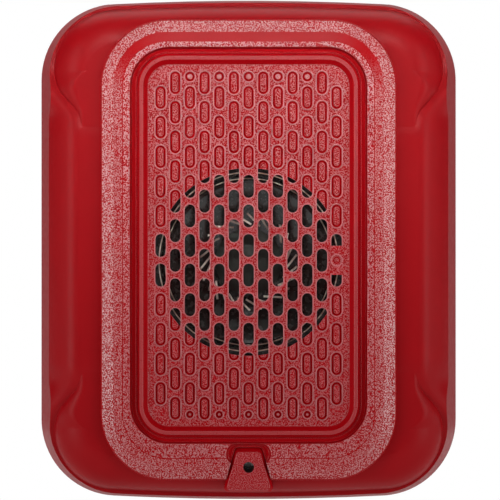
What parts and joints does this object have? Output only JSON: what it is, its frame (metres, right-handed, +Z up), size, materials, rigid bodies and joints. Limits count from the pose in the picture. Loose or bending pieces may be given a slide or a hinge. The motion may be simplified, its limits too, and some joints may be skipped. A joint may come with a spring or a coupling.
{
  "type": "wall horn",
  "caption": "Red wall-mounted alarm horn: rounded body, stippled slotted grille, one-screw swing-off front on a hooked mounting plate.",
  "frame": {"origin": "centre of the mounting plate's back face, on the wall plane", "axes": "+Z up, +X to the right seen from the front, +Y into the wall, so the front faces -Y"},
  "size_m": [0.119, 0.0318, 0.143],
  "materials": {
    "smooth_red": "fine matt",
    "stippled_red": "stippled satin",
    "rear_black": "fine matt",
    "plated_steel": "zinc plated",
    "black_steel": "satin black",
    "foam": "closed-cell foam",
    "film_black": "glossy film",
    "cap_film": "satin film",
    "copper": "lacquered wire",
    "kapton": "amber film",
    "ferrite": "sintered",
    "iron": "nickel plated",
    "board_green": "solder mask",
    "can_sleeve": "shrunk sleeve",
    "chip_black": "moulded",
    "tin": "tinned",
    "spring_brass": "bright",
    "wire_red": "wire sheath",
    "plate_white": "fine matt",
    "block_black": "fine matt",
    "rotor_white": "fine matt"
  },
  "bodies": {
    "mounting_base": {"mounting_plate": "plate_white", "threaded_insert": "spring_brass", "terminal_block": "block_black", "terminal_contacts": "spring_brass", "terminal_clamps": "plated_steel", "terminal_screws": "plated_steel"},
    "front_unit": {"outer_housing": "smooth_red", "front_pod": "stippled_red", "rear_cover": "rear_black", "rear_cover_screws": "plated_steel", "speaker_gasket": "foam", "speaker_frame": "black_steel", "speaker_screws": "plated_steel", "pole_yoke": "iron", "magnet": "ferrite", "top_plate": "iron", "surround": "film_black", "speaker_leads": "wire_red", "circuit_board": "board_green", "board_screws": "plated_steel", "capacitors": "can_sleeve", "inductor_core": "ferrite", "inductor_winding": "copper", "driver_chip": "chip_black", "chip_leads": "tin", "chip_resistors": "chip_black", "contact_blades": "spring_brass", "selector_body": "block_black"},
    "diaphragm": {"diaphragm_cone": "film_black", "dust_cap": "cap_film", "voice_coil_former": "kapton", "voice_coil": "copper"},
    "shorting_leaf": {"shorting_leaf": "spring_brass"},
    "selector_rotor": {"selector_rotor": "rotor_white"},
    "captive_washer": {"screw_washer": "plated_steel"},
    "fixing_screw": {"mounting_screw": "plated_steel"}
  },
  "joints": [
    {"name": "front_swing", "type": "hinge", "parent": "mounting_base", "child": "front_unit", "pos_m": [0, -0.003, 0.0674], "axis": [-1, 0, 0], "range_deg": [0, 35]},
    {"name": "leaf_flex", "type": "hinge", "parent": "mounting_base", "child": "shorting_leaf", "pos_m": [0, -0.0054, -0.007], "axis": [1, 0, 0], "range_deg": [0, 4]},
    {"name": "screw_turn", "type": "hinge", "parent": "captive_washer", "child": "fixing_screw", "pos_m": [0, -0.015, -0.0612], "axis": [0, -1, 0], "range_deg": [0, 1440]},
    {"name": "screw_travel", "type": "slide", "parent": "front_unit", "child": "captive_washer", "axis": [0, -1, 0], "range_m": [0, 0.00317]},
    {"name": "selector_turn", "type": "hinge", "parent": "front_unit", "child": "selector_rotor", "pos_m": [-0.026, -0.009, 0.03], "axis": [0, 1, 0], "range_deg": [0, 315]},
    {"name": "diaphragm_travel", "type": "slide", "parent": "front_unit", "child": "diaphragm", "axis": [0, -1, 0], "range_m": [-0.0004, 0.0004], "stiffness_N_per_m": 500, "deforming": ["surround"]}
  ],
  "couplings": [
    {"joint": "screw_turn", "follows": "screw_travel", "rad_per_m": 7913.3},
    {"joint": "leaf_flex", "follows": "front_swing", "ratio": 0.11429}
  ]
}
